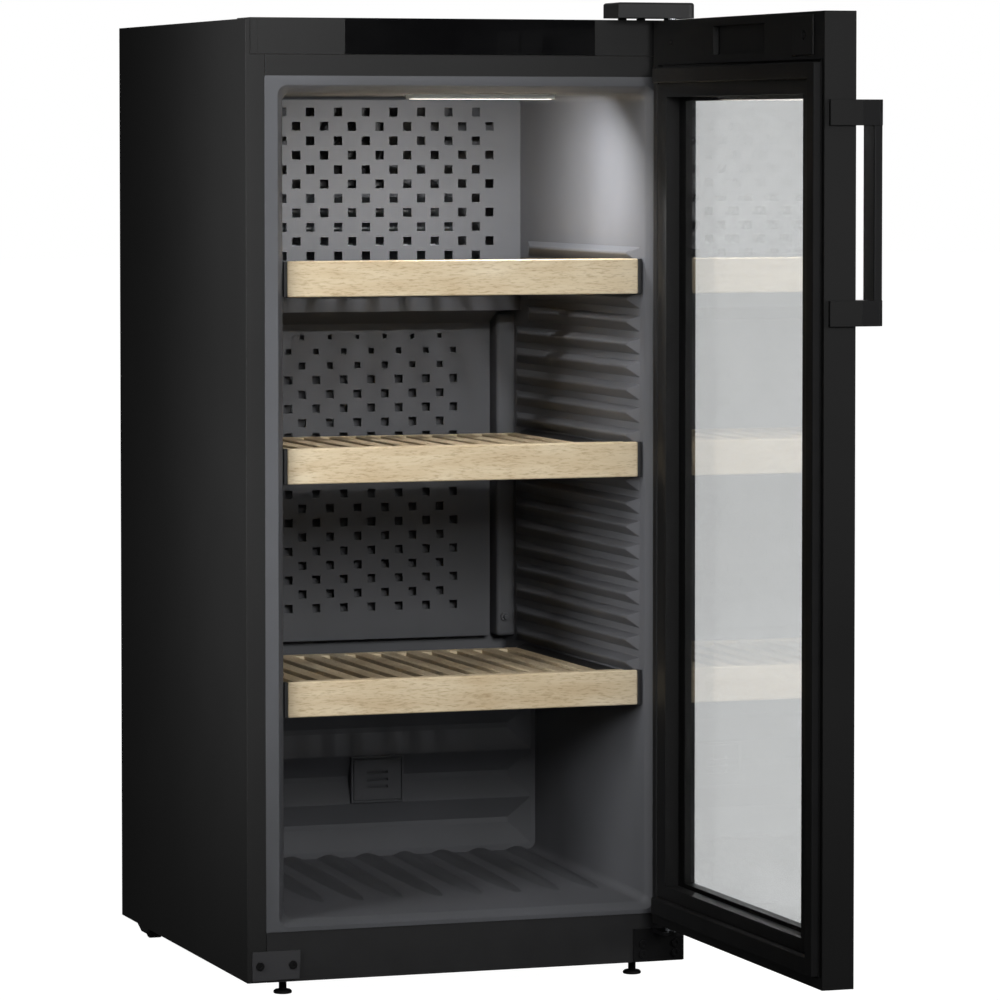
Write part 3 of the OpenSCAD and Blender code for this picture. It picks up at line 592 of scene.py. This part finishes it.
# shelf ribs: one pointed, hipped bar, copied up both walls
rib = {"first": 383, "pitch": 30, "count": 20, "short": 4, "out": 13, "start": 22, "end": 526, "endHigh": 476,
       "over": 7.5, "under": 17, "crest": 3, "tip": 25, "tail": 46, "sunk": 0.8, "round": 1.2}
crestX = side - rib["out"] * mm
for group, end in ((range(rib["count"] - rib["short"]), rib["end"]),
                   (range(rib["count"] - rib["short"], rib["count"]), rib["endHigh"])):
    start, stop = front + rib["start"] * mm, front + end * mm
    top, bottom = rib["over"] * mm, -rib["under"] * mm
    bar = startBlock("rib", (crestX, start, bottom), (side + rib["sunk"] * mm, stop, top))
    pick(bar, "FACE", lambda c, n: n.x < -0.9)
    length, tall = stop - start, top - bottom
    stretch((crestX, (start + stop) / 2, (top + bottom) / 2),
            y=(length - (rib["tip"] + rib["tail"]) * mm) / length, z=rib["crest"] * mm / tall)
    move(y=(rib["tip"] - rib["tail"]) / 2 * mm, z=-rib["crest"] / 2 * mm - (top + bottom) / 2)
    done()
    soften(bar, rib["round"] * mm, 2, 20)
    for k in group:
        rise = (rib["first"] + k * rib["pitch"]) * mm
        parts.append(copyPiece(bar, "ribRight", (0, 0, rise)))
        parts.append(copyPiece(bar, "ribLeft", (0, 0, rise), mirrorX=True))
    bpy.data.objects.remove(bar)

# upright corner posts that close the sides of the air duct
post = {"inner": 221, "front": 526, "low": 403, "high": 858, "sunk": 0.8, "round": 5}
upright = startBlock("post", (post["inner"] * mm, front + post["front"] * mm, post["low"] * mm),
                     (side + post["sunk"] * mm, front + (liner["back"] + 1) * mm, post["high"] * mm))
soften(upright, post["round"] * mm, 4)
parts.append(copyPiece(upright, "postLeft", mirrorX=True))
parts.append(upright)

# wall over the compressor: a flat face with three hip-ended grooves
grooves = {"proud": 16, "first": 121, "below": 11, "pitch": 66, "count": 3, "reach": 240, "deepReach": 208,
           "crest": 0.8, "skinLeft": 0.3, "deepShare": 0.03, "sunk": 0.5, "above": 0.6, "round": 0.7}
faceY = wallY - grooves["proud"] * mm
sunk = grooves["sunk"] * mm
slab = startBlock("groovedWall", (-side - sunk, faceY, (grooves["first"] - grooves["below"]) * mm),
                  (side + sunk, wallY + sunk, (liner["step"] + grooves["above"]) * mm))
for k in range(grooves["count"]):
    bottom = (grooves["first"] + k * grooves["pitch"] + grooves["crest"] / 2) * mm
    top = bottom + (grooves["pitch"] - grooves["crest"]) * mm
    reach = grooves["reach"] * mm
    wedge = startBlock("groove", (-reach, faceY - 0.1 * mm, bottom),
                       (reach, wallY - grooves["skinLeft"] * mm, top))
    pick(wedge, "FACE", lambda c, n: n.y > 0.9)
    stretch((0, wallY, (bottom + top) / 2), x=grooves["deepReach"] / grooves["reach"],
            z=grooves["deepShare"])
    done()
    cut(slab, wedge)
soften(slab, grooves["round"] * mm, 2, 8)
parts.append(slab)

# seat of the filter: a pad that fills the grooves behind the cartridge
pad = {"margin": 1.5, "proud": 0.2, "border": 3, "round": 1}
filterLow, filterHigh, middle = size("charcoal_filter")
margin = pad["margin"] * mm
seat = startBlock("filterSeat", (filterLow.x + margin, faceY - pad["proud"] * mm, filterLow.z + margin),
                  (filterHigh.x - margin, wallY, filterHigh.z - margin))
pick(seat, "FACE", lambda c, n: n.y < -0.9)
bpy.ops.mesh.inset(thickness=pad["border"] * mm)
done()
soften(seat, pad["round"] * mm, 2)
parts.append(seat)

# floor waves: rounded ridges that rise towards the wall and die out at the front
waves = {"columns": 18, "start": 26, "crest": 21, "sink": 7.4, "leastSink": 1.2, "growth": (0, 0.85, 1),
         "sideGap": 2, "under": 3, "skin": 1}
bpy.ops.object.select_all(action="DESELECT")
bpy.ops.mesh.primitive_grid_add(x_subdivisions=waves["columns"], y_subdivisions=2, size=1)
floorWaves = bpy.context.object
floorWaves.name = "floorWaves"
startY, stopY = front + waves["start"] * mm, faceY + waves["under"] * mm
wavesWide = 2 * (side - waves["sideGap"] * mm)
columnWidth = wavesWide / waves["columns"]
slope = liner["floorRise"] * mm / (wallY - lipY)
floorWaves.scale = (wavesWide, stopY - startY, 1)
floorWaves.location = (0, (stopY + startY) / 2, 0)
bpy.ops.object.transform_apply(location=True, rotation=True, scale=True)
for row, share in enumerate(waves["growth"]):
    y = startY + row / 2 * (stopY - startY)
    pick(floorWaves, "VERT", lambda c, n: abs(c.y - y) < mm)
    move(z=floorZ + slope * (y - lipY) - max(waves["sink"] * share, waves["leastSink"]) * mm)
    pick(floorWaves, "VERT", lambda c, n: abs(c.y - y) < mm and round((c.x + side) / columnWidth) % 2 == 1)
    move(z=waves["crest"] * share * mm)
done()
only(floorWaves)
smooth = floorWaves.modifiers.new("smooth", "SUBSURF")
smooth.levels = smooth.render_levels = 3
bpy.ops.object.modifier_apply(modifier=smooth.name)
sheet = floorWaves.modifiers.new("sheet", "SOLIDIFY")
sheet.thickness = waves["skin"] * mm
sheet.offset = -1
bpy.ops.object.modifier_apply(modifier=sheet.name)
bpy.ops.object.shade_smooth_by_angle(angle=math.radians(50))
parts.append(floorWaves)
settle(join("innerLiner", parts), "cabinet", "liner_plastic", "inner_liner")
print("inner liner made")

# shelves: a rounded front board, lengthwise slats and side rails, a rear and a middle cross rail
shelf = {"boardThin": 8, "endLength": 15, "round": 2.2, "rail": 20, "slats": 11, "slatWidth": 22,
         "slatRound": 1.2, "railRise": 9, "crossWidth": 30, "overlap": 0.5, "housed": 1, "crossDrop": 0.2}
overlap = shelf["overlap"] * mm
for level in ("lower", "middle", "upper"):
    low, high, middle = size(f"shelf_{level}_board")
    bodyName = f"shelf_{level}"
    board = startBlock(f"shelfBoard.{level}", low, (high.x, low.y + shelf["boardThin"] * mm, high.z))
    endX = high.x - shelf["endLength"] * mm
    for x in (-endX, endX):
        pick(board, "FACE", lambda c, n: True)
        bpy.ops.mesh.bisect(plane_co=(x, 0, 0), plane_no=(1, 0, 0))
    pick(board, "FACE", lambda c, n: n.y > 0.9 and abs(c.x) < endX / 2)
    extrude(y=high.y - low.y - shelf["boardThin"] * mm)
    done()
    soften(board, shelf["round"] * mm, 4)
    settle(board, bodyName, "beech", f"shelf_{level}_board")

    low, high, middle = size(f"shelf_{level}_frame")
    rail = shelf["rail"] * mm
    crest = high.z - shelf["railRise"] * mm
    long = [startBlock("rail", (high.x - rail, low.y, low.z), (high.x, high.y, high.z))]
    soften(long[0], shelf["slatRound"] * mm, 3)
    long.append(copyPiece(long[0], "railLeft", mirrorX=True))
    pitch = 2 * (high.x - rail / 2) / (shelf["slats"] + 1)
    half = shelf["slatWidth"] / 2 * mm
    slat = startBlock("slat", (-half, low.y, crest - shelf["housed"] * mm),
                      (half, high.y - rail + overlap, high.z))
    soften(slat, shelf["slatRound"] * mm, 3)
    for k in range(1, shelf["slats"] + 1):
        long.append(copyPiece(slat, "slatCopy", (-high.x + rail / 2 + k * pitch, 0, 0)))
    bpy.data.objects.remove(slat)
    lengthwise = settle(join(f"shelfSlats.{level}", long), bodyName, "beech", f"shelf_{level}_frame")
    lengthwise.data.materials[0] = beechLong
    railX, halfCross = high.x - rail + overlap, shelf["crossWidth"] / 2 * mm
    across = [startBlock("rearRail", (-railX, high.y - rail, low.z), (railX, high.y, high.z)),
              startBlock("middleRail", (-railX, middle.y - halfCross, low.z),
                         (railX, middle.y + halfCross, crest - shelf["crossDrop"] * mm))]
    for piece in across:
        soften(piece, shelf["slatRound"] * mm, 3)
    settle(join(f"shelfCrossRails.{level}", across), bodyName, "beech", f"shelf_{level}_frame")
print("shelves made")

# hinge cover: a thin moulded cap, open underneath, rounded at its outer end and along its top
cap = {"corner": 11, "edge": 3.4, "wall": 2.2, "round": 0.3}
low, high, middle = size("hinge_cover")
cover = startBlock("hingeCover", low, high)
pick(cover, "EDGE", lambda c, d: abs(d.z) > 0.9 and c.x > middle.x and c.y < middle.y)
bpy.ops.mesh.bevel(offset=cap["corner"] * mm, segments=8)
pick(cover, "EDGE", lambda c, d: c.z > high.z - 0.1 * mm and abs(d.z) < 0.1)
bpy.ops.mesh.bevel(offset=cap["edge"] * mm, segments=6)
pick(cover, "FACE", lambda c, n: n.z < -0.9)
bpy.ops.mesh.delete(type="FACE")
done()
only(cover)
shellWall = cover.modifiers.new("wall", "SOLIDIFY")
shellWall.thickness = cap["wall"] * mm
shellWall.offset = -1
bpy.ops.object.modifier_apply(modifier=shellWall.name)
soften(cover, cap["round"] * mm, 2, 50)
settle(cover, "cabinet", "black_plastic", "hinge_cover")

# filter cartridge: its cover gets a groove round the border and three deeper louvres
louvre = {"margin": 2.2, "groove": 1.8, "deep": 3.6, "width": 30, "tall": 3.4, "pitch": 10, "slotDeep": 14,
          "count": 3, "round": 0.4}
low, high, middle = size("charcoal_filter")
cartridge = nodeCopy("charcoal_filter", "charcoalFilter")
inX, outX = low.x + louvre["margin"] * mm, high.x - louvre["margin"] * mm
inZ, outZ = low.z + louvre["margin"] * mm, high.z - louvre["margin"] * mm
width, bottomY = louvre["groove"] * mm, low.y + louvre["deep"] * mm
tools = []
for z in (inZ, outZ - width):
    tools.append(startBlock("coverGroove", (inX, low.y - mm, z), (outX, bottomY, z + width)))
for x in (inX, outX - width):
    tools.append(startBlock("coverGroove", (x, low.y - mm, inZ + width / 2),
                            (x + width, bottomY - 0.05 * mm, outZ - width / 2)))
half, reach = louvre["tall"] / 2 * mm, louvre["width"] / 2 * mm
for k in range(louvre["count"]):
    z = middle.z + (k - (louvre["count"] - 1) / 2) * louvre["pitch"] * mm
    tools.append(startBlock("louvre", (middle.x - reach, low.y - mm, z - half),
                            (middle.x + reach, low.y + louvre["slotDeep"] * mm, z + half)))
cut(cartridge, *tools)
soften(cartridge, louvre["round"] * mm, 2)
settle(cartridge, "filter", "liner_plastic", "charcoal_filter")

# door frame: the frame node with the deeper details of its inner face cut in
detail = {"slotGap": 1.5, "slotWidth": 8, "slotDeep": 9, "seamLow": 1193.8, "seamHigh": 1196.6, "seamDeep": 7,
          "seamStop": 12, "pocket": (-721.5, -547.5, 1207, 1243), "pocketDeep": 7, "ramp": 18,
          "pocketSlot": 5, "pocketSlotDeep": 16.8, "capSeam": 3.2, "capGap": 0.2, "capStart": 20,
          "round": 0.8}
gasketLow, gasketHigh, middle = size("door_gasket")
capLow, capHigh, middle = size("latch_cap")
face = capHigh.x
frameCopy = nodeCopy("door_frame", "doorFrame")
slotY = gasketLow.y - detail["slotGap"] * mm
tools = [
    startBlock("edgeSlot", (face - mm, slotY - detail["slotWidth"] * mm, gasketLow.z),
               (face + detail["slotDeep"] * mm, slotY, detail["seamHigh"] * mm)),
    startBlock("bandSeam", (face - mm, slotY, detail["seamLow"] * mm),
               (face + detail["seamDeep"] * mm, gasketHigh.y - detail["seamStop"] * mm,
                detail["seamHigh"] * mm)),
]
freeY, hingeY, pocketLow, pocketHigh = (value * mm for value in detail["pocket"])
pocket = startBlock("pocket", (face - mm, freeY, pocketLow),
                    (face + detail["pocketDeep"] * mm, hingeY, pocketHigh))
pick(pocket, "VERT", lambda c, n: c.x > face and c.y < freeY + mm)
move(y=detail["ramp"] * mm)
done()
tools.append(pocket)
seam, gap = detail["capSeam"] * mm, detail["capGap"] * mm
tools.append(startBlock("pocketSlot", (face, hingeY - detail["pocketSlot"] * mm, pocketLow + mm),
                        (face + detail["pocketSlotDeep"] * mm, hingeY - gap, pocketHigh - mm)))
tools.append(startBlock("capSeam", (face - mm, capHigh.y + gap, capLow.z - seam / 2),
                        (face + 2 * seam, capHigh.y + seam, capHigh.z + seam / 3)))
tools.append(startBlock("capSeamLow", (face - mm, capLow.y + detail["capStart"] * mm, capLow.z - seam / 2),
                        (face + seam, capHigh.y + 0.5 * mm, capLow.z - gap)))
cut(frameCopy, *tools)
soften(frameCopy, detail["round"] * mm, 2)
settle(frameCopy, "door", "door_black", "door_frame")

# handle: two chamfered blocks and a flat bar, on mounts that end where the blocks begin
handle = {"chamfer": 6, "barFrom": 12.8, "barTo": 1.8, "barIn": 2, "blockHalf": 15.5, "gap": 0.15,
          "plate": 47, "round": 0.35, "barRound": 1.5}
low, high, middle = size("handle_grip")
mountLow, mountHigh, middle = size("handle_mounts")
plateX = face + handle["plate"] * mm
blockZ = handle["blockHalf"] * mm
grip = []
for z in (low.z + blockZ, high.z - blockZ):
    block = startBlock("gripBlock", (plateX + handle["gap"] * mm, low.y, z - blockZ),
                       (high.x, high.y, z + blockZ))
    pick(block, "EDGE", lambda c, d: abs(d.z) > 0.9 and c.x > high.x - mm and c.y < low.y + mm)
    bpy.ops.mesh.bevel(offset=handle["chamfer"] * mm, segments=1)
    done()
    soften(block, handle["round"] * mm, 2)
    grip.append(block)
bar = startBlock("gripBar", (high.x - handle["barFrom"] * mm, low.y + handle["barIn"] * mm, low.z + blockZ),
                 (high.x - handle["barTo"] * mm, high.y, high.z - blockZ))
soften(bar, handle["barRound"] * mm, 3)
grip.append(bar)
settle(join("handleGrip", grip), "handle", "black_metal", "handle_grip")
mounts = nodeCopy("handle_mounts", "handleMounts")
cut(mounts, startBlock("lugRoom", (plateX, mountLow.y - mm, mountLow.z - mm),
                       (mountHigh.x + mm, mountHigh.y + mm, mountHigh.z + mm)))
soften(mounts, handle["round"] * mm, 2)
settle(mounts, bodyOf["handle_mounts"], "door_black", "handle_mounts")

# spacer between the panes: wider on the hinge side, where the glazing has its dark border
border = {"wider": 15, "round": 0.4}
low, high, middle = size("pane_spacer")
spacer = nodeCopy("pane_spacer", "paneSpacer")
pick(spacer, "FACE", lambda c, n: n.y < -0.9 and middle.y < c.y < high.y - mm)
move(y=-border["wider"] * mm)
done()
soften(spacer, border["round"] * mm, 2)
settle(spacer, "door", "door_black", "pane_spacer")

# cabinet screws: dark heads with a round socket
socket = {"radius": 1.7, "deep": 1.3, "sides": 12, "round": 0.3,
          "places": ((-282.4, 42.5), (-238.6, 42.5), (241.4, 31.5), (241.4, 44.5), (287, 31.5), (287, 44.5))}
low, high, middle = size("cabinet_screws")
screws = nodeCopy("cabinet_screws", "cabinetScrews")
sockets = []
for x, z in socket["places"]:
    sockets.append(startRound("socket", (x * mm, low.y, z * mm), socket["radius"] * mm,
                              2 * socket["deep"] * mm, socket["sides"]))
cut(screws, *sockets)
soften(screws, socket["round"] * mm, 2)
settle(screws, "cabinet", "black_metal", "cabinet_screws")
print("hinge cover, door frame, handle and screws made")

# frame nodes that keep their shape: merged, given rounded edges and their own finish
edges = {
    "side_panels": 0.9, "top_panel": 0.5, "rear_panel": 0.5, "insulation_foam": 1.5, "base_plate": 0.5,
    "lower_crossbar": 0.7, "upper_crossbar": 0.5, "control_fascia": 0.8, "display_panel": 0.4,
    "control_board": 0.3, "air_duct_panel": 0.5, "evaporator": 0.1, "fan_housing": 1.0, "fan_motor": 0.6,
    "fan_rotor": 0.4, "light_housing": 0.6, "light_diffuser": 0.8, "temperature_sensor": 0.6,
    "compressor": 2.5, "terminal_box": 2.0, "compressor_grommets": 1.2, "condenser_coil": 0,
    "refrigerant_pipes": 0, "drip_tray": 0.8, "mains_inlet": 1.0, "castor_housings": 0.8,
    "castor_wheel_left": 0.6, "castor_wheel_right": 0.6, "foot_bushes": 0.5, "front_foot_left": 0.6,
    "front_foot_right": 0.6, "lower_hinge_bracket": 0.7, "upper_hinge_bracket": 0.6, "hinge_pins": 0.5,
    "left_cover_plate": 0.8, "filter_socket": 0.4, "door_outer_pane": 0.4, "door_inner_pane": 0.4,
    "door_gasket": 2.2, "latch_cap": 0.6, "hinge_bushes": 0.5, "door_screws": 0.25,
    "shelf_lower_slides": 0.9, "shelf_middle_slides": 0.9, "shelf_upper_slides": 0.9,
}
visibleSlot = dict(slotOf, latch_cap="door_black", door_screws="black_metal")
for node, width in edges.items():
    words = node.split("_")
    name = words[0] + "".join(word.capitalize() for word in words[1:])
    piece = nodeCopy(node, name)
    if width:
        soften(piece, width * mm, 2)
    else:
        bpy.ops.object.shade_smooth_by_angle(angle=smoothAngle)
    settle(piece, bodyOf[node], visibleSlot[node], node)
print("frame nodes refined:", len(edges))

# lamp under the opal cover in the ceiling, aimed down and to the rear
ceiling = {"right": 20, "under": 1, "aimRight": 50, "aimBack": 260, "aimHeight": 700, "size": (0.14, 0.02),
           "power": 5.0, "spread": 165}
low, high, middle = size("light_diffuser")
lampPlace = (middle.x + ceiling["right"] * mm, middle.y, low.z - ceiling["under"] * mm)
lampTarget = (middle.x + ceiling["aimRight"] * mm, middle.y + ceiling["aimBack"] * mm,
              ceiling["aimHeight"] * mm)
areaLight("ceilingLamp", lampPlace, lampTarget, ceiling["size"], ceiling["power"], ceiling["spread"])
